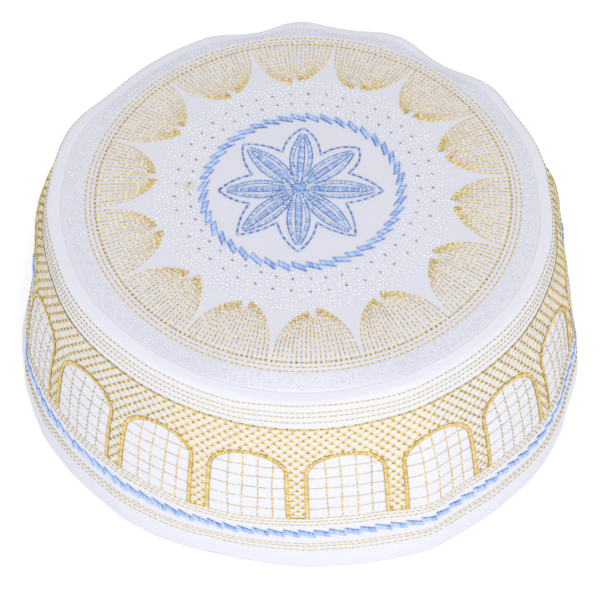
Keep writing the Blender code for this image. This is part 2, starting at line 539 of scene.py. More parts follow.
inner = [(inner_radius(height), height) for height in np.arange(SHOULDER_FOOT, 2.0, -2.8)]
HEM_RADIUS = SECTIONS[0][1]
hem = [
    (HEM_RADIUS - CLOTH, 0.7),
    (HEM_RADIUS - CLOTH + 0.2, 0.2),
    (HEM_RADIUS - CLOTH + 0.6, 0.0),
    (HEM_RADIUS - 0.6, 0.0),
    (HEM_RADIUS - 0.2, 0.2),
    (HEM_RADIUS, 0.7),
]
band_line = np.array(outer + turn_in + inner + hem + outer[:1])
band = turned("side_band_embroidered_cloth", band_line)


def band_places(points):
    radius, height, azimuth = polar(points)
    share = np.where(radius < BAND_RADIUS - 0.5, crown_share(radius), 1.0)
    outside = (radius > wall_radius(height) - 0.3) & (height < SEAM_HEIGHT - 0.01)
    ripple = relief(azimuth, height)
    return place(radius + np.where(outside, ripple, 0.0), height, azimuth, share)


def band_pattern(points):
    radius, height, azimuth = polar(points)
    return np.stack([np.radians(azimuth) * PATTERN_RADIUS, height + radius], -1)


drape(band, band_places, band_pattern)
band.data.materials.append(band_cotton)
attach(band, "root")
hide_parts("band")
print("band:", triangles(band), "triangles,", len(band_line), "points in its line")

# %% [markdown]
# ## One stitch
# A machine stitch is a short length of thread that comes up through a needle hole, lies on the cloth and
# goes down the next hole. It is modelled once, from a small sphere stretched along X: its end rings are
# pulled out so that the thread keeps its thickness, and its tips are pushed down into the cloth. It has
# only a few dozen faces, because the cap has many thousands of stitches.

# %% The stitch
SIDES = 5


def pick(piece, test):
    """Selects the vertices that pass a test on their place."""
    mesh = bmesh.from_edit_mesh(piece.data)
    for vertex in mesh.verts:
        vertex.select = test(vertex.co)
    mesh.select_flush(True)
    mesh.select_flush(False)
    bmesh.update_edit_mesh(piece.data)


bpy.ops.object.select_all(action="DESELECT")
bpy.ops.mesh.primitive_uv_sphere_add(segments=SIDES, ring_count=4, radius=0.5, location=(0.0, 0.0, 0.0))
stitch = bpy.context.object
bpy.ops.object.mode_set(mode="EDIT")
bpy.ops.mesh.select_all(action="SELECT")
bpy.ops.transform.rotate(value=math.pi / 2, orient_axis="Y", center_override=(0.0, 0.0, 0.0))
pick(stitch, lambda co: 0.2 < abs(co.x) < 0.45)
bpy.ops.transform.resize(value=(1.18, 1.22, 1.22), center_override=(0.0, 0.0, 0.0))
pick(stitch, lambda co: abs(co.x) > 0.45)
bpy.ops.transform.translate(value=(0.0, 0.0, -0.42))
bpy.ops.mesh.select_all(action="SELECT")
bpy.ops.mesh.quads_convert_to_tris()
bpy.ops.object.mode_set(mode="OBJECT")
STITCH_POINTS = points_of(stitch.data)
STITCH_FACES = np.array([list(face.vertices) for face in stitch.data.polygons])
bpy.data.objects.remove(stitch, do_unlink=True)
print("a stitch has", len(STITCH_FACES), "triangles")

# %% [markdown]
# ## Embroidery thread
# Rayon thread is two-ply and silky: paler where it catches the light, deeper between the strands, and
# darkest at its ends, which are painted dark as the shade of the needle hole it dives into. Every stitch
# carries a tone, which fades towards its ends.
# The material turns the tone into colour, and a fine diagonal wave along the thread gives its twist.

# %% Thread materials
def thread(name, deep, middle, pale, roughness):
    """Thread whose tone runs from a deep colour to a pale one, by the attribute that its stitches carry."""
    material, tree, shader = new_material(name, middle, roughness, 0.2)
    sewn = add_node(tree, "ShaderNodeAttribute", attribute_name="sewn").outputs["Vector"]
    tone, to_end, darkness = add_node(tree, "ShaderNodeSeparateXYZ", sewn).outputs
    # The ends of each stitch are painted darker, as shade of the needle holes.
    hole = add_node(tree, "ShaderNodeMapRange", Value=to_end, From_Min=0.58, From_Max=0.84).outputs["Result"]
    darkened = add_node(tree, "ShaderNodeMath", hole, darkness, operation="MULTIPLY").outputs[0]
    faded = add_node(tree, "ShaderNodeMath", tone, darkened, operation="SUBTRACT").outputs[0]
    where = add_node(tree, "ShaderNodeTexCoord").outputs["Object"]
    speckle = add_node(tree, "ShaderNodeTexNoise", Vector=where, Scale=900.0, Detail=2.0).outputs["Fac"]
    varied = add_node(tree, "ShaderNodeMath", speckle, 0.2, faded, operation="MULTIPLY_ADD").outputs[0]
    ramp = add_node(tree, "ShaderNodeValToRGB", varied)
    first, last = ramp.color_ramp.elements
    first.color, first.position = (*deep, 1.0), 0.1
    last.color, last.position = (*pale, 1.0), 1.0
    ramp.color_ramp.elements.new(0.6).color = (*middle, 1.0)
    fill(tree, shader.inputs["Base Color"], ramp.outputs["Color"])
    along = add_node(tree, "ShaderNodeUVMap", uv_map="thread_mm").outputs[0]
    twist = add_node(
        tree, "ShaderNodeTexWave", bands_direction="DIAGONAL", Vector=along, Scale=WAVE_PERIOD / 0.5
    )
    bump = add_node(tree, "ShaderNodeBump", Strength=0.6, Distance=0.03 * MM, Height=twist.outputs["Fac"])
    fill(tree, shader.inputs["Normal"], bump.outputs["Normal"])
    return material


GOLD = thread("gold rayon thread", (0.12, 0.075, 0.012), (0.56, 0.38, 0.07), (0.80, 0.65, 0.31), 0.42)
PALE = thread("pale gold thread", (0.17, 0.13, 0.075), (0.50, 0.425, 0.24), (0.68, 0.61, 0.42), 0.5)
BLUE = thread("blue rayon thread", (0.045, 0.085, 0.36), (0.26, 0.42, 0.74), (0.54, 0.66, 0.84), 0.45)
WHITE = thread("white sewing thread", (0.17, 0.18, 0.23), (0.56, 0.57, 0.64), (0.76, 0.77, 0.82), 0.6)

# %% [markdown]
# ## Sewing
# The machine is told only where the needle goes down, and so is this function: it gets the ends of every
# stitch as places on a surface, and lays a copy of the stitch between each pair, square to the cloth. All
# the stitches of one motif become one mesh, as an array would give, with a tone for each.

# %% Laying a row of stitches
CAP_INSIDE = np.array([0.0, 0.0, 20.0])  # a point that the whole cloth faces away from
FLATTENED = 0.9  # height of a laid thread, as part of its width
RAISED = 0.18  # how far its middle lies above the cloth, as part of its width


def outward(surface, places):
    """The cloth's own direction out, at places on it."""
    step = 0.05
    first = surface(places[:, 0] + step, places[:, 1]) - surface(places[:, 0] - step, places[:, 1])
    second = surface(places[:, 0], places[:, 1] + step) - surface(places[:, 0], places[:, 1] - step)
    square = np.cross(first, second)
    square /= np.linalg.norm(square, axis=1, keepdims=True)
    return square * np.sign((square * (surface(*places.T) - CAP_INSIDE)).sum(1, keepdims=True))


def both_ways(middles, halves):
    """The starts and ends of stitches, from their middles and half of each."""
    return middles - halves, middles + halves


def row(pair, width, tone, **more):
    """A row of stitches from the pair's starts to its ends, as thick and as pale as given."""
    starts, ends = np.array(pair, float)
    return dict(starts=starts, ends=ends, width=width, tone=tone, **more)


def lay(surface, numbers, starts, ends, width, tone, vary=0.08, hole=0.4, lift=0.0, arch=0.0):
    """Points, tones and thread map of one row. Vary is how far its tone varies, and hole is how dark its
    ends are painted, as shade of its needle holes. It lies this lift above the cloth, and arches over it by
    this much more."""
    count = len(starts)
    from_point = surface(*starts.T)
    run = surface(*ends.T) - from_point
    up = outward(surface, (starts + ends) / 2)
    length = np.linalg.norm(run, axis=1)
    side = np.cross(up, run / length[:, None])
    thick = width * numbers.uniform(0.9, 1.1, count)
    t, s, u = STITCH_POINTS[:, 0] + 0.5, STITCH_POINTS[:, 1], STITCH_POINTS[:, 2]
    high = (u * FLATTENED + RAISED) * thick[:, None] + lift + arch * 4.0 * (t * (1.0 - t))
    points = (
        from_point[:, None]
        + run[:, None] * t[:, None]
        + side[:, None] * (s * thick[:, None])[..., None]
        + up[:, None] * high[..., None]
    )
    tones = tone + numbers.uniform(-vary, vary, count)
    holes = hole * numbers.uniform(0.7, 1.2, count)
    sewn = np.stack(np.broadcast_arrays(tones[:, None], np.abs(2.0 * t - 1.0), holes[:, None]), -1)
    thread_map = np.stack(np.broadcast_arrays(length[:, None] * t, np.arctan2(u, s) / math.tau), -1)
    return points.reshape(-1, 3), sewn.reshape(-1, 3), thread_map.reshape(-1, 2)


print("a stitch stands", 0.5 * FLATTENED + RAISED, "of its width above the cloth")

# %% Sewing a motif
def sew(name, material, surface, rows):
    """One mesh of all the stitches in the rows."""
    numbers = np.random.default_rng(len(name) * 101)
    laid = [lay(surface, numbers, **each) for each in rows]
    points, tones, maps = [np.concatenate(kind) for kind in zip(*laid)]
    stitches = len(points) // len(STITCH_POINTS)
    faces = (STITCH_FACES[None] + np.arange(stitches)[:, None, None] * len(STITCH_POINTS)).reshape(-1, 3)
    mesh = bpy.data.meshes.new(name)
    mesh.from_pydata((points - MIDDLE) * MM, [], faces)
    mesh.attributes.new("sewn", "FLOAT_VECTOR", "POINT").data.foreach_set("vector", tones.ravel())
    mesh.uv_layers.new(name="thread_mm").data.foreach_set("uv", maps[faces.ravel()].ravel())
    mesh.materials.append(material)
    mesh.shade_smooth()
    piece = bpy.data.objects.new(name, mesh)
    bpy.context.scene.collection.objects.link(piece)
    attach(piece, "root")
    print(f"{name}: {stitches} stitches, {len(faces)} triangles")


# %% Stitches along a path and across it
def measured(surface, path):
    """A path's length on the cloth, and a function that gives the place at a distance along it."""
    path = np.asarray(path, float)
    gone = gone_along(surface(*path.T))
    return gone[-1], lambda distance: np.stack([np.interp(distance, gone, each) for each in path.T], -1)


def along_path(surface, path, pitch, gap, jitter=0.0, seed=0):
    """Starts and ends of running stitches along a path, spaced on the cloth, more or less evenly."""
    length, at = measured(surface, path)
    count = max(int(round(length / pitch)), 1)
    real = length / count
    begins = np.arange(count) * real
    wander = np.random.default_rng(seed).uniform(-jitter, jitter, (2, count))
    return at(begins + gap / 2 + wander[0]), at(begins + real - gap / 2 + wander[1])


def across_path(surface, path, pitch, half_width, slant=0.0):
    """Starts and ends of satin stitches side by side across a path, half a width on each side."""
    length, at = measured(surface, path)
    count = max(int(round(length / pitch)), 2)
    marks = np.linspace(0.0, length, count + 1)[:-1] + length / count / 2
    half = np.interp(marks / length, np.linspace(0.0, 1.0, len(half_width)), half_width)
    here = at(marks)
    step = 0.1
    ahead = at(np.minimum(marks + step, length)) - at(np.maximum(marks - step, 0.0))
    # Millimetres on the cloth to one unit of each of the surface's coordinates.
    moved = [surface(*(here + way).T) - surface(*here.T) for way in step * np.eye(2)]
    scale = np.linalg.norm(moved, axis=2).T / step
    flat = ahead * scale
    flat /= np.linalg.norm(flat, axis=1, keepdims=True)
    square = np.stack([-flat[:, 1], flat[:, 0]], -1) + slant * flat
    offset = square / scale * half[:, None]
    return both_ways(here, offset)


print("running stitch and satin stitch are ready")

# %% Rings, levels and needle holes
DOT_ON_TOP = np.array([0.2, 0.0])  # half a needle hole's dot, in mm
DOT_ON_WALL = np.array([0.13, 0.0])  # the same in degrees


def circle(radius, first):
    """A circle on the crown's plan, from a first azimuth."""
    return spoke(radius, first + np.linspace(0.0, 360.0, 721))


def level(height, first=0.0):
    """A line round the wall at one height, from a first azimuth."""
    azimuths = first + np.linspace(0.0, 360.0, 1441)
    return np.stack([azimuths, np.full(azimuths.shape, height)], -1)


def painted_side_shade(azimuth):
    """From 0 in front of the cap to 1 at its sides and behind, where the thread is painted darker as shade.
    """
    return np.interp(np.abs(signed(azimuth)), (18.0, 60.0), (0.0, 1.0))


def needle_hole_shade(places, half, width, tone):
    """A row of short dark stitches, one where the needle went down at each place, as painted shade of its
    hole.
    """
    return row(both_ways(np.array(places), half), width, tone, vary=0.1, lift=0.06, hole=0.0)


print("a needle hole's dot is", 2 * DOT_ON_TOP[0], "mm long")

# %% [markdown]
# ## The blue flower
# Eight petals stand round the crown's middle. Each has a solid spindle of satin stitch down its middle, a
# narrow band of satin on each side, and an outline of running stitch that joins its neighbours' in the
# notches. The machine works the petals a little unevenly, so each has its own direction and length.

# %% The flower's outline
FLOWER_MIDDLE = np.array([-1.4, 0.4])
# Azimuth and radius of each petal's tip, how far its outline bulges, then those of the notch after it.
PETALS = (
    (-136.4, 25.6, 1.2, -111.1, 15.5),
    (-88.6, 25.0, 1.0, -68.3, 16.4),
    (-45.6, 26.4, 0.9, -25.8, 15.2),
    (-0.3, 25.1, 1.2, 22.2, 14.8),
    (42.7, 25.6, 0.9, 67.9, 15.6),
    (88.5, 26.3, 0.9, 112.5, 16.6),
    (131.9, 25.4, 1.7, 153.8, 15.4),
    (176.7, 25.6, 1.4, -161.0, 15.8),
)


def bow(start, end, bulge, away_from):
    """A curve from start to end that bulges away from a point."""
    run = end - start
    square = quarter_turn(run) / np.linalg.norm(run)
    middle = (start + end) / 2
    handle = middle + 2.0 * bulge * square * np.sign(np.dot(middle - away_from, square))
    t = np.linspace(0.0, 1.0, 24)[:, None]
    return (1 - t) ** 2 * start + 2 * t * (1 - t) * handle + t**2 * end


outlines = []
for index, (azimuth, reach, bulge, _, _) in enumerate(PETALS):
    tip = FLOWER_MIDDLE + spoke(reach, azimuth)
    inside_petal = FLOWER_MIDDLE + spoke(20.0, azimuth)
    for _, _, _, notch_azimuth, notch_radius in (PETALS[index], PETALS[index - 1]):
        notch = FLOWER_MIDDLE + spoke(notch_radius, notch_azimuth)
        edge = along_path(top, bow(notch, tip, bulge, inside_petal), 1.2, 0.02, 0.2, index)
        outlines.append(row(edge, 0.66, np.resize((0.50, 0.14), len(edge[0])), vary=0.15, hole=0.3))
print(len(outlines), "edges of petals")

# %% The petals' satin
spindles, flanks, edges, shade_streaks = [], [], [], []
t = np.linspace(0.0, 1.0, 40)  # from a petal's foot to its tip
spindle_half = 1.3 * np.sin(np.pi * (0.10 + 0.90 * t)) ** 0.75
flank_half = 0.7 * np.sin(np.pi * (0.12 + 0.8 * t)) ** 0.5
flank_aside = 2.85 * np.sin(np.pi * (0.12 + 0.88 * t)) ** 0.9
for index, (azimuth, reach, _, _, _) in enumerate(PETALS):
    out = spoke(1.0, azimuth)
    sideways = quarter_turn(out)
    spine = FLOWER_MIDDLE + np.outer(1.5 + (reach - 4.0) * t, out)
    spindle = across_path(top, spine, 0.62, spindle_half, 0.25)
    spindles.append(row(spindle, 0.50, 0.70, vary=0.34, arch=0.2, hole=0.9))
    for side in (-1.0, 1.0):
        flank = FLOWER_MIDDLE + np.outer(4.6 + (reach - 7.2) * t, out)
        flank = flank + side * np.outer(flank_aside, sideways)
        flank_satin = across_path(top, flank, 0.6, flank_half, 0.2 * side)
        flanks.append(row(flank_satin, 0.46, 0.76, vary=0.3, arch=0.12, hole=0.7))
        edge = along_path(top, flank + side * 0.75 * sideways, 0.8, 0.1)
        edges.append(row(edge, 0.32, 0.42, vary=0.3, lift=0.08, hole=0.6))
    # Longer, darker threads laid along each spindle are painted shade along its middle: less dark in the
    # petals that point to the front and back, and darkest in the offset row.
    tone = 0.62 if abs(out[0]) < 0.1 else 0.4
    for aside in (-0.1, 0.4):
        shade_streak = along_path(top, spine[4:32] + aside * sideways, 3.0, 0.1, 0.4, index)
        shade_streaks.append(row(shade_streak, 0.38, tone - 0.3 * aside, vary=0.14, lift=0.26, hole=0.3))
sew("flower_satin", BLUE, top, spindles + flanks + shade_streaks)
sew("flower_outline", BLUE, top, outlines + edges)

# %% The knot in the flower's middle
numbers = np.random.default_rng(5)
knot_way = np.array([0.92, -0.38])
across_knot = np.linspace(-1.0, 1.0, 7)
knot_middles = FLOWER_MIDDLE + np.outer(1.1 * across_knot, [0.38, 0.92])
knot_halves = np.outer(2.7 * np.sqrt(1.1 - across_knot**2), knot_way)
knot = row(both_ways(knot_middles, knot_halves), 0.5, 0.42, vary=0.14, lift=0.3, arch=0.15, hole=0.3)

# Small stitches crowd between the feet of the petals, some pale and some dark.
FLECKS = 260
fleck_radii = 2.0 + 7.5 * numbers.random(FLECKS) ** 1.4
fleck_middles = FLOWER_MIDDLE + spoke(fleck_radii, 360.0 * numbers.random(FLECKS))
fleck_halves = spoke(0.38, 360.0 * numbers.random(FLECKS))
fleck_tones = np.where(numbers.random(FLECKS) < 0.5, 0.12, 0.95)
flecks = row(both_ways(fleck_middles, fleck_halves), 0.34, fleck_tones, lift=0.12, hole=0.2)

# One thread was carried from the ring of blocks to the tip of the upper left petal.
carried = row(([(-19.8, 22.8)], [(-18.1, 17.8)]), 0.22, 0.7, hole=0.0)
sew("flower_knot", BLUE, top, [knot, flecks, carried])

# %% [markdown]
# ## Blue blocks
# A ring of short satin blocks circles the flower, and a row of the same blocks runs round the wall as a
# twisted rope. Every block leans by the same angle and a thin thread leads to the next one.

# %% Blocks of satin
BLOCK_THREADS = 8


def blocks(centres, forward, long, high, lean, slant, scale):
    """Satin blocks, and the threads that link them. Forward is each block's direction along its row, and
    scale turns millimetres along and across the row into the surface's own coordinates."""
    starts, ends, links = [], [], []
    for centre, ahead in zip(centres, forward):
        square = quarter_turn(ahead)
        along = math.cos(lean) * ahead + math.sin(lean) * square
        half_thread = (square - slant * ahead) * high / 2
        for part in np.linspace(-0.5, 0.5, BLOCK_THREADS):
            middle = part * long * along
            starts.append(centre + (middle - half_thread) * scale)
            ends.append(centre + (middle + half_thread) * scale)
        links.append((centre - 0.5 * long * along * scale, centre + 0.5 * long * along * scale))
    links = np.array(links)
    return (starts, ends), (links[:, 1], np.roll(links[:, 0], -1, axis=0))


print("a block has", BLOCK_THREADS, "threads")

# %% The ring of blocks
RING_BLOCKS = 43
RING_BLOCK_RADIUS = 30.6
RING_BLOCK_STRETCH = 0.55  # the hoop pulled the ring a little oval, longest at this azimuth:
STRETCHED_AT = 125.0
RING_BLOCK_MIDDLE = np.array([-0.3, 0.1])
azimuths = -1.7 + np.arange(RING_BLOCKS) * 360.0 / RING_BLOCKS
radii = RING_BLOCK_RADIUS + RING_BLOCK_STRETCH * np.cos(2.0 * np.radians(azimuths - STRETCHED_AT))
centres = RING_BLOCK_MIDDLE + spoke(radii, azimuths)
forward = spoke(1.0, azimuths + 90.0)
threads, links = blocks(centres, forward, 4.0, 2.3, math.radians(-22.0), 0.3, np.ones(2))
satin = row(threads, 0.56, 0.54, vary=0.22, arch=0.18, hole=0.5)
sew("blue_block_ring", BLUE, top, [satin, row(links, 0.3, 0.6, hole=0.2)])

# %% The rope of blocks
ROPE_BLOCKS = 124
ROPE_HEIGHT = 17.3
azimuths = 0.8 + np.arange(ROPE_BLOCKS) * 360.0 / ROPE_BLOCKS
centres = np.stack([azimuths, np.full(ROPE_BLOCKS, ROPE_HEIGHT)], -1)
forward = np.tile([1.0, 0.0], (ROPE_BLOCKS, 1))
in_degrees = np.array([1.0 / (math.radians(1.0) * wall_radius(ROPE_HEIGHT)), 1.0])
threads, links = blocks(centres, forward, 4.3, 2.5, math.radians(-19.0), 0.3, in_degrees)
links[1][-1, 0] += 360.0
satin = row(threads, 0.60, 0.62, vary=0.2, arch=0.25, hole=0.35)
sew("blue_rope", BLUE, wall, [satin, row(links, 0.28, 0.9, hole=0.1)])

# %% [markdown]
# ## White quilting and eyelets
# Outside the ring of blocks the crown is quilted with white thread: rings of short raised stitches, a little
# over a millimetre apart, which the machine lays unevenly. White on white, they show only as soft flecks.
# Two rings of needle eyelets show darker: dark stitches are painted there as the shade of the holes. The
# strip outside the gold rings is quilted more finely.

# %% Quilting
numbers = np.random.default_rng(8)


def quilted(inner_edge, outer_edge, apart, long, turned_by):
    """Starts and ends of short stitches in rings this far apart, each moved and turned at random."""
    places = []
    for radius in np.arange(inner_edge, outer_edge, apart):
        count = int(math.tau * radius / (apart * 1.1))
        azimuths = 360.0 * (np.arange(count) + numbers.uniform(-0.3, 0.3, count)) / count
        places.append(np.stack([radius + numbers.uniform(-0.35, 0.35, count) * apart, azimuths], -1))
    radii, azimuths = np.vstack(places).T
    middles = spoke(radii, azimuths)
    half = 0.5 * spoke(long, azimuths + 90.0 + numbers.uniform(-turned_by, turned_by, len(radii)))
    return both_ways(middles, half)


# Inner and outer radius, how far apart and how long the stitches are, and their tone.
QUILTED = ((33.2, 46.3, 1.45, 0.95, 0.88), (69.0, 74.2, 1.15, 0.7, 0.70))
quilting = []
for inner_edge, outer_edge, apart, long, tone in QUILTED:
    stitches = quilted(inner_edge, outer_edge, apart, long, 60.0)
    quilting.append(row(stitches, 0.44, tone, vary=0.12, hole=0.15))
sew("white_quilting", WHITE, top, quilting)

# %% Eyelets
EYELETS = 45  # in each ring
EYELET_RADII = (35.9, 40.4)
EYELET_MIDDLE = np.array([0.4, 1.0])
azimuths = 2.5 + np.tile(np.arange(EYELETS), 2) * 360.0 / EYELETS
places = EYELET_MIDDLE + spoke(np.repeat(EYELET_RADII, EYELETS), azimuths)
places = places + numbers.uniform(-0.3, 0.3, (2 * EYELETS, 2))
halves = spoke(0.42, 60.0 + numbers.uniform(-25.0, 25.0, 2 * EYELETS))
tones = numbers.uniform(0.0, 0.22, 2 * EYELETS)
# Each eyelet is a short dark stitch, painted shade of its hole.
sew("eyelets", WHITE, top, [row(both_ways(places, halves), 0.68, tones, lift=-0.06)])

# %% [markdown]
# ## The golden fans
# Fourteen fans stand on the inner gold ring like scallop shells. Each is drawn by nineteen lines of running
# stitch, which leave the ring squarely and close up like the meridians of a globe. The inner lines end along
# the sides of a small notch, and the others run into a lobe on either side of it, where a short zigzag
# ties them.

# %% One line of a fan
FAN_TIPS = (-176.7, -151.3, -124.0, -97.8, -71.6, -45.6, -21.4, 3.5, 28.5, 57.5, 84.5, 109.8, 133.7, 158.6)
FAN_LINES = 9  # on each side of the middle one
FAN_RADIUS = GOLD_RINGS[0]
FAN_FOOT = 63.5  # from the crown's middle to where a fan is widest
FAN_NOTCH = 49.4
NOTCH_HALF = 0.15
LOBE_TIPS = {-1.0: 46.9, 1.0: 45.8}  # of the lobe on each side, one longer than the other
LOBE_AT = 1.5  # from the fan's middle to the tip of each lobe
FAN_HALF = 12.9  # half of a fan's greatest width, in mm
EVEN_EDGE = 12.16  # the same in degrees, for a fan of even width
NOTCH_SHARE = 0.35  # of the lines end in the notch
SHORTER = (0.0, 1.3, 0.4, 1.9)  # the lines end this far before the lobe's tip, in turn


def fan_line(middle, side, line, edge):
    """One line of a fan, counted from its middle, in a fan that is this wide on that side."""
    part = line / FAN_LINES
    turn = np.radians(np.linspace(90.0, 0.0, 36))
    share = min(part / NOTCH_SHARE, 1.0)
    end_across = NOTCH_HALF + (LOBE_AT - NOTCH_HALF) * share
    end_along = FAN_NOTCH + (LOBE_TIPS[side] - FAN_NOTCH) * share
    foot_across = FAN_HALF * part * edge / EVEN_EDGE
    across = end_across + (foot_across - end_across) * np.sin(turn) ** 1.45
    along = FAN_FOOT - (FAN_FOOT - end_along) * np.cos(turn)
    across += 0.7 * part * np.interp(along, (59.0, FAN_FOOT), (0.0, 1.0)) ** 2
    kept = along > end_along + (SHORTER[line % 4] if share == 1.0 else 0.0) - 0.01
    axis = spoke(1.0, middle)
    path = np.outer(along, axis) + side * np.outer(across, quarter_turn(axis))
    return np.vstack([spoke(FAN_RADIUS, middle + side * part * edge), path[kept]])


print(len(FAN_TIPS), "fans of", 2 * FAN_LINES + 1, "lines")

# %% Fans
FAN_GAP = 0.7  # degrees left free on each side
fan_rows, fan_feet = [], []
for index, middle in enumerate(FAN_TIPS):
    before = signed(middle - FAN_TIPS[index - 1]) / 2 - FAN_GAP
    after = signed(FAN_TIPS[(index + 1) % len(FAN_TIPS)] - middle) / 2 - FAN_GAP
    # The needle-hole shade is painted darker in the fans towards the front.
    hole = 0.54 + 0.16 * math.cos(math.radians(middle))
    for line in range(-FAN_LINES, FAN_LINES + 1):
        side, edge = (1.0, after) if line > 0 else (-1.0, before)
        path = fan_line(middle, side, abs(line), edge)
        stitches = along_path(top, path, 1.75, 0.1, 0.15, FAN_LINES + line)
        fan_rows.append(row(stitches, 0.43, 0.76, vary=0.18, hole=hole))
        fan_feet.append(path[0] * (1.0 + 0.3 / FAN_RADIUS))
    axis = spoke(1.0, middle)
    for side, tip in LOBE_TIPS.items():
        aside = side * np.linspace(LOBE_AT, LOBE_AT + 0.5, 8)
        tie = np.outer(np.linspace(tip + 0.1, tip + 2.6, 8), axis) + np.outer(aside, quarter_turn(axis))
        zigzag = across_path(top, tie, 0.6, [0.25, 0.5, 0.4], 0.4)
        fan_rows.append(row(zigzag, 0.36, 0.6, vary=0.2, lift=0.2, hole=0.6))
# Dark stitches at the fans' feet are painted shade of their needle holes.
foot_tones = np.random.default_rng(3).uniform(0.0, 0.5, len(fan_feet))
fan_rows.append(needle_hole_shade(fan_feet, DOT_ON_TOP, 0.46, foot_tones))
sew("golden_fans", GOLD, top, fan_rows)

# %% Gold rings round the crown
ring_rows = []
for index, (radius, hole) in enumerate(zip(GOLD_RINGS, (0.75, 0.6, 0.5))):
    stitches = along_path(top, circle(radius, 40.0 * index), 1.85, 0.12, 0.25, index)
    ring_rows.append(row(stitches, 0.38, 0.76, hole=hole))
    # Each stitch's needle hole gets a dark stitch of painted shade.
    ring_rows.append(needle_hole_shade(stitches[0], 0.8 * DOT_ON_TOP, 0.36, 0.3))
sew("gold_crown_rings", GOLD, top, ring_rows)

# %% [markdown]
# ## Gold lines round the wall
# Four thin lines run round the shoulder, three between the arches and the rope, and three hold the hem.
# Their thread is thinner and paler, and shows mostly by its needle holes, whose shade is painted as dark
# dots, darker towards the sides. The lattice hangs from a thin cord of close slanting stitches.

# %% Lines round the wall
LINE_GROUPS = (("shoulder_lines", SHOULDER_LINES, 1.6), ("wall_lines", FOOT_LINES + HEM_LINES, 1.9))
for name, heights_sewn, pitch in LINE_GROUPS:
    rows = []
    for index, height in enumerate(heights_sewn):
        path = level(height, 31.0 * index)
        path[:, 1] += climb(path[:, 0], height)
        stitches = along_path(wall, path, pitch, 0.06, 0.05, index)
        # Towards the sides each line and its needle holes are painted darker, as shade.
        aside = painted_side_shade(stitches[0][:, 0])
        rows.append(row(stitches, 0.47, 0.86 - 0.08 * aside, hole=0.15 + 0.5 * aside))
        rows.append(needle_hole_shade(stitches[0], DOT_ON_WALL, 0.40, 0.5 - 0.5 * aside))
    sew(name, PALE, wall, rows)

cord = across_path(wall, level(BORDER_HEIGHT), 0.7, [0.28, 0.28], 1.2)
# The cord is painted darker towards the sides, as shade.
cord_tones = 0.66 - 0.34 * painted_side_shade(cord[0][:, 0])
sew("lattice_cord", GOLD, wall, [row(cord, 0.42, cord_tones, vary=0.18, arch=0.06, hole=0.2)])

# %% [markdown]
# ## The arcade
# Nineteen round-headed arches stand on the foot line, and a lattice fills the wall between and above them.
# Every arch has a border of satin stitch. Its outline is two legs and a flattened half ellipse. The cloth
# shifted a little under the needle, so the columns don't stand quite evenly or upright.

# %% The arcade's sizes
ARCHES = 19
ARCH_PITCH = 360.0 / ARCHES
FIRST_ARCH = 8.6
FOOT_HALF = 7.7  # degrees from an arch's middle to its leg at the foot
SPRING_HALF = 7.6
SPRING_HEIGHT = 41.5
ARCH_TOP = 47.9
HEAD_POWER = 2.2  # 2 for a true ellipse, and more for a flatter head
# Azimuth, then how many degrees the work has shifted there at the arches' foot and at their top.
SHIFTS = (
    (-180.0, 0.0, 0.0),
    (-90.0, -0.5, -1.4),
    (-58.0, -0.5, -1.2),
    (-39.0, -0.4, -0.8),
    (-20.0, -0.3, -0.5),
    (-1.0, 0.0, -0.6),
    (18.0, 0.0, 0.0),
    (37.0, -0.4, -0.3),
    (56.0, -1.1, -0.9),
    (90.0, -0.8, -0.8),
    (180.0, 0.0, 0.0),
)


def arcade(azimuth, height):
    """The wall as the arcade lies on it, with the shifts of the work."""
    azimuth, height = np.broadcast_arrays(np.asarray(azimuth, float), np.asarray(height, float))
    round_it = signed(azimuth)
    at, foot, head = np.array(SHIFTS).T
    part = np.clip((height - ARCH_FOOT) / (ARCH_TOP - ARCH_FOOT), 0.0, 1.0)
    fading = np.clip((BORDER_HEIGHT - height) / (BORDER_HEIGHT - ARCH_TOP), 0.0, 1.0)
    shift = np.interp(round_it, at, foot) * (1.0 - part) + np.interp(round_it, at, head) * part * fading
    return wall(azimuth + shift, height)


def arch_half(height):
    """Half an arch's width in degrees at a height, and below zero above its top."""
    leg = FOOT_HALF + (SPRING_HALF - FOOT_HALF) * (height - ARCH_FOOT) / (SPRING_HEIGHT - ARCH_FOOT)
    rise = np.clip((height - SPRING_HEIGHT) / (ARCH_TOP - SPRING_HEIGHT), 0.0, 1.0)
    head = SPRING_HALF * np.sqrt(1.0 - rise**HEAD_POWER)
    return np.where(height < SPRING_HEIGHT, leg, np.where(height > ARCH_TOP, -1.0, head))


arch_middles = FIRST_ARCH + ARCH_PITCH * np.arange(ARCHES)
print(ARCHES, "arches,", round(ARCH_PITCH, 2), "degrees apart")

# %% Arches
def arch_path(middle):
    """An arch's outline: up one leg, over the head and down the other leg."""
    heights = np.linspace(ARCH_FOOT, SPRING_HEIGHT, 12)[:-1]
    left = list(zip(middle - arch_half(heights), heights))
    rise = np.sin(np.linspace(0.0, np.pi / 2, 24)) ** (2.0 / HEAD_POWER)
    head = middle - SPRING_HALF * np.sqrt(np.maximum(1.0 - rise**HEAD_POWER, 0.0))
    left += list(zip(head, SPRING_HEIGHT + (ARCH_TOP - SPRING_HEIGHT) * rise))
    right = [(2 * middle - azimuth, height) for azimuth, height in left[::-1]]
    return np.array(left + right[1:])


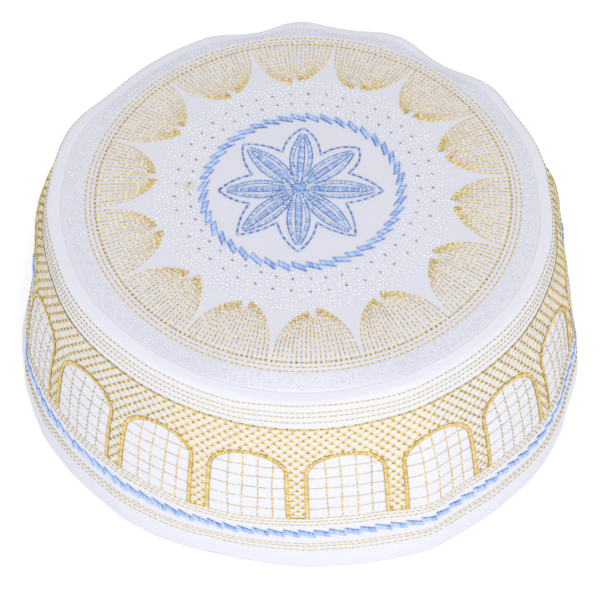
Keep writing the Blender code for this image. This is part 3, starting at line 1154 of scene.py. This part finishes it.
ARCH_WIDTHS = [0.72, 0.72, 0.72, 0.55, 0.72, 0.72, 0.72]  # half the satin's width, narrowest at the top
legs = np.linspace(ARCH_FOOT, SPRING_HEIGHT + 1.5, 30)
satin = []
for middle in arch_middles:
    # Towards the sides the border is painted darker, as shade. A darker run of stitches along the column
    # side of each leg is painted shade of the raised border, darker still towards the sides.
    aside = painted_side_shade(middle)
    border = across_path(arcade, arch_path(middle), 0.47, ARCH_WIDTHS, 0.25)
    satin.append(row(border, 0.50, 0.64 - 0.08 * aside, vary=0.16, arch=0.25, hole=0.35))
    for side in (-1.0, 1.0):
        edge = np.stack([middle + side * (arch_half(legs) + 0.32), legs], -1)
        stitches = along_path(arcade, edge, 1.1, 0.05)
        satin.append(row(stitches, 0.36, 0.54 - 0.3 * aside, vary=0.15, lift=0.16, hole=0.2))
sew("arch_satin", GOLD, arcade, satin)

# %% The grid inside each arch
GRID_ACROSS = (-5.9, -1.5, 3.2, 7.6)  # of its upright lines from the arch's middle, in mm
GRID_HEIGHTS = (28.3, 32.6, 36.7, 40.5, 43.9)
LIT_FRONT_HALF = 35.0  # degrees to each side in which the uprights get the gold thread material, as painted front light
tall = np.linspace(ARCH_FOOT, ARCH_TOP, 60)
front_uprights, other_lines = [], []
for index, middle in enumerate(arch_middles):
    for line, away in enumerate(GRID_ACROSS):
        wave = 0.12 * np.sin(tall / 3.1 + 2.0 * line + index)
        upright = middle + np.degrees((away + wave) / wall_radius(tall))
        inside_arch = np.abs(upright - middle) < arch_half(tall) - 0.4
        stitches = along_path(arcade, np.stack([upright, tall], -1)[inside_arch], 1.7, 0.05)
        if abs(signed(middle)) < LIT_FRONT_HALF:
            front_uprights.append(row(stitches, 0.42, 0.74, vary=0.15, hole=0.4))
        # Elsewhere the uprights get the pale thread, with dark dots of painted needle-hole shade.
        else:
            other_lines.append(row(stitches, 0.38, 0.72, vary=0.12, hole=0.6))
            other_lines.append(needle_hole_shade(stitches[0], DOT_ON_WALL, 0.40, 0.12))
    for height in GRID_HEIGHTS:
        half = float(arch_half(height)) - 0.45
        across = np.linspace(middle - half, middle + half, 40)
        path = np.stack([across, height + 0.1 * np.sin(across * 0.8 + height + index)], -1)
        other_lines.append(row(along_path(arcade, path, 1.9, 0.06), 0.38, 0.76, vary=0.15, hole=0.45))
sew("arch_grid_front", GOLD, arcade, front_uprights)
sew("arch_grid", PALE, arcade, other_lines)

# %% [markdown]
# ## The lattice
# Two families of threads cross the wall, one running down to the left and one down to the right. In front
# they slope alike and leave even diamonds. Towards the sides the family that climbs to the front grows steep
# and the other nearly level, because the strip was pulled while it was sewn. The level threads lie slack
# there and look paler, so they are a piece of their own. Every thread goes down at each crossing, which
# shows as a brown dot: the threads meet there, and the needle hole's shade is painted in, darker towards the
# sides. In the columns between the arches the pattern is narrower.

# %% The lattice's lines
DIAMONDS = 8  # to each arch
half_step = ARCH_PITCH / DIAMONDS / 2
LINES = DIAMONDS * ARCHES  # in each family
# How far a thread runs sideways for its depth, against an even diamond, by its azimuth on its steep side.
SPREAD_AT = (-180.0, -120.0, -60.0, -40.0, 0.0, 20.0, 40.0, 55.0, 66.0, 100.0, 140.0, 180.0)
SPREAD = (1.0, 1.2, 1.22, 1.16, 0.98, 0.82, 0.68, 0.51, 0.46, 0.46, 0.7, 1.0)
depths = np.arange(0.0, 27.0, 0.25)  # in half diamonds
NARROWED = 0.89  # the pattern's width low in a column, as part of its even width
depth_heights = BORDER_HEIGHT + 0.1 - 1.1 * depths - 0.0115 * depths**2  # taller below


def thread_line(start, side):
    """Azimuths of one thread at all depths, running down to the side given by 1 or -1."""
    line = [start]
    for step in np.diff(depths):
        spread = np.interp(signed(side * line[-1]), SPREAD_AT, SPREAD)
        line.append(line[-1] + side * half_step * step * spread)
    return np.array(line)


def drawn_in(places):
    """Moves places of the even pattern towards the middle of their column, low on the wall."""
    azimuth, height = places.T
    away = signed(azimuth - FIRST_ARCH - ARCH_PITCH / 2, ARCH_PITCH)
    squeeze = NARROWED + (1.0 - NARROWED) * ease((height - 38.0) / 8.0)
    return np.stack([azimuth - away + away * squeeze, height], -1)


def open_wall(places, margin):
    """Whether places lie outside every arch, by a margin in degrees."""
    azimuth, height = places.T
    return np.abs(signed(azimuth - FIRST_ARCH, ARCH_PITCH)) > arch_half(height) + margin


line_starts = FIRST_ARCH + ARCH_PITCH / 2 + np.arange(LINES) * 2 * half_step
leftward = np.array([thread_line(start, -1) for start in line_starts])
rightward = np.array([thread_line(start, 1) for start in line_starts])
DEEPEST = 26  # crossings of one thread, from the border down
crossings = []  # of each leftward thread with the rightward ones
for index in range(LINES):
    met = []
    for back in range(DEEPEST):
        other = rightward[index - back] - (360.0 if back > index else 0.0)
        depth = np.interp(0.0, other - leftward[index], depths)
        met.append((np.interp(depth, depths, leftward[index]), np.interp(depth, depths, depth_heights)))
    crossings.append(met)
crossings = np.array(crossings)
next_lines = np.roll(crossings, -1, axis=0)
next_lines[-1, :, 0] += 360.0
print(LINES, "threads in each family,", DEEPEST, "crossings on each")

# %% The lattice's stitches
SLACK_FROM = -28.0  # a thread is level and slack beyond this azimuth, counted to its steep side
gold_rows, pale_rows = [], []
for side, lower in ((-1.0, crossings[:, 1:]), (1.0, next_lines[:, 1:])):
    starts = drawn_in(crossings[:, :-1].reshape(-1, 2))
    ends = drawn_in(lower.reshape(-1, 2))
    centre = (starts + ends) / 2
    kept = open_wall(centre, 0.3) & (centre[:, 1] > ARCH_FOOT + 0.3)
    kept &= (starts[:, 1] - ends[:, 1] > 0.1) & (np.abs(starts[:, 0] - ends[:, 0]) < 2.0 * half_step)
    starts, ends, centre = starts[kept], ends[kept], centre[kept]
    steep = side * signed(centre[:, 0])
    tones = np.interp(steep, (12.0, 42.0), (0.88, 0.62))
    flat = steep < SLACK_FROM
    gold_rows.append(row((starts[~flat], ends[~flat]), 0.62, tones[~flat], vary=0.14, hole=0.3))
    pale_rows.append(row((starts[flat], ends[flat]), 0.54, 0.80, vary=0.15, hole=0.3))
touches = drawn_in(crossings.reshape(-1, 2))
touches = touches[open_wall(touches, 0.35) & (touches[:, 1] > ARCH_FOOT + 0.5)]
# The crossing dots are partly the threads' contact and partly painted shade of the needle holes, painted
# darker towards the sides.
dot_tones = 0.27 - 0.14 * painted_side_shade(touches[:, 0])
gold_rows.append(needle_hole_shade(touches, 2.2 * DOT_ON_WALL, 0.66, dot_tones))
sew("lattice", GOLD, arcade, gold_rows)
sew("lattice_flat_threads", PALE, arcade, pale_rows)

# %% The feet of the columns
feet = []
for middle in arch_middles:
    column = middle + ARCH_PITCH / 2
    reach = ARCH_PITCH / 2 - FOOT_HALF
    path = np.stack([np.linspace(column - reach, column + reach, 20), np.full(20, ARCH_FOOT + 0.35)], -1)
    feet.append(row(across_path(arcade, path, 0.55, [0.35, 0.35], 0.8), 0.42, 0.5, hole=0.5))
sew("column_feet", GOLD, arcade, feet)

# %% [markdown]
# ## Floor, light and camera
# The cap stands on a plain pale floor. Soft light comes from all round, as in a light tent. A large lamp in
# front brightens the wall, and a faint one shines from the right. The camera stands well back and looks
# down at the cap.

# %% Floor
bpy.ops.object.select_all(action="DESELECT")
bpy.ops.mesh.primitive_circle_add(vertices=64, radius=6.0, fill_type="NGON", location=(0.0, 0.0, -0.0003))
floor = bpy.context.object
floor.name = "floor"
floor_material, _, _ = new_material("pale floor", (0.96, 0.96, 0.97), 0.9, 0.0)
floor.data.materials.append(floor_material)
print("floor is ready")

# %% Light
world = bpy.data.worlds.new("light tent")
bpy.context.scene.world = world
world.use_nodes = True
background = world.node_tree.nodes["Background"]
background.inputs["Color"].default_value = (1.0, 1.0, 1.0, 1.0)
background.inputs["Strength"].default_value = 1.01


def lamp(name, place_at, size, power):
    """A square area lamp aimed at the cap."""
    data = bpy.data.lights.new(name, "AREA")
    data.energy = power
    data.size = size
    made = bpy.data.objects.new(name, data)
    bpy.context.scene.collection.objects.link(made)
    made.location = place_at
    made.rotation_euler = (Vector((0.0, 0.0, 0.03)) - Vector(place_at)).to_track_quat("-Z", "Y").to_euler()


lamp("front lamp", (0.1, -0.97, 0.95), 0.9, 9.0)
lamp("right lamp", (1.3, -0.2, 0.7), 0.8, 0.25)
bpy.context.scene.view_settings.view_transform = "Standard"

# %% Camera
PICTURE = 600  # pixels each way
FOCAL = 2307.34  # in pixels
DISTANCE = 720.0  # from the crown's middle, in mm
SIGHT = math.radians(49.574)  # how steeply the camera looks at the crown's middle
CROWN_SHOWS_AT = (303.09, 194.75)  # where that point shows in the picture
ROLL = math.radians(0.112)

shown_right = CROWN_SHOWS_AT[0] - PICTURE / 2
shown_up = PICTURE / 2 - CROWN_SHOWS_AT[1]
turn = math.atan(shown_right / FOCAL)
tilt = SIGHT + math.atan(shown_up / math.hypot(FOCAL, shown_right))
level_ahead = Vector((0.0, math.cos(tilt), -math.sin(tilt)))
upright = Vector((0.0, math.sin(tilt), math.cos(tilt)))
sideways = Vector((1.0, 0.0, 0.0))
ahead = math.cos(turn) * level_ahead - math.sin(turn) * sideways
level_right = math.cos(turn) * sideways + math.sin(turn) * level_ahead
right = math.cos(ROLL) * level_right + math.sin(ROLL) * upright
upward = math.cos(ROLL) * upright - math.sin(ROLL) * level_right
away = Vector((0.0, -math.cos(SIGHT), math.sin(SIGHT))) * DISTANCE
stand = (Vector((0.0, 0.0, RING_HEIGHT)) + away - Vector(MIDDLE)) * MM

camera_data = bpy.data.cameras.new("camera")
camera_data.sensor_width = 36.0
camera_data.lens = 36.0 * FOCAL / PICTURE
camera_data.clip_start = 0.01
camera = bpy.data.objects.new("camera", camera_data)
bpy.context.scene.collection.objects.link(camera)
axes = Matrix((right, upward, -ahead)).transposed().to_4x4()
camera.matrix_world = Matrix.Translation(stand) @ axes
bpy.context.scene.camera = camera
print("camera stands at", [round(value, 3) for value in stand])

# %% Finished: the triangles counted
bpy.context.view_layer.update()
shown = [piece for piece in bpy.data.objects if piece.type == "MESH" and not piece.hide_render]
print(sum(triangles(piece) for piece in shown), "triangles in all")
